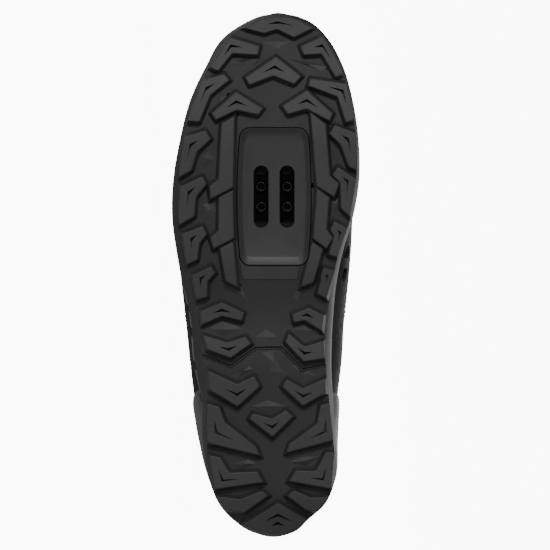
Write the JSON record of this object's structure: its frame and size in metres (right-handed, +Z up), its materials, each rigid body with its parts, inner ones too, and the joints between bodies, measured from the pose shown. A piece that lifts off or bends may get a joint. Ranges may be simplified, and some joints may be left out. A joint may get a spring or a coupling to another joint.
{
  "type": "cycling shoe",
  "caption": "Right-foot mountain bike shoe lying on its outer side: chevron-lugged rubber sole with a cleat window and sliding cleat nut, hollow laced upper.",
  "frame": {"origin": "centre of the bounding box on the floor that the shoe lies on", "axes": "+Z up with the shoe on its outer side, -X towards the toe, -Y the way the sole faces"},
  "size_m": [0.2816, 0.1094, 0.1038],
  "materials": {
    "rubber": "matt moulded rubber",
    "foam": null,
    "nylon": "fine matt nylon",
    "steel": "plain steel",
    "synthetic": "coated microfibre, a synthetic leather",
    "moulded": "moulded overlay",
    "padding": "padded mesh",
    "footbed": "brushed fabric on foam",
    "lace": "flat woven lace"
  },
  "bodies": {
    "shoe": {"outsole": "rubber", "midsole": "foam", "cleat_plate": "nylon", "insole": "footbed", "upper": "synthetic", "heel_counter": "moulded", "toe_cap": "moulded", "tongue": "padding", "lace_bar_1": "lace", "lace_bar_2": "lace", "lace_bar_3": "lace", "lace_bar_4": "lace", "lace_bar_5": "lace", "lace_bar_6": "lace"},
    "nut": {"cleat_nut": "steel"}
  },
  "joints": [
    {"name": "nut_slide", "type": "slide", "parent": "shoe", "child": "nut", "axis": [-0.9965, 0, 0.0841], "range_m": [-0.007, 0.007]}
  ]
}
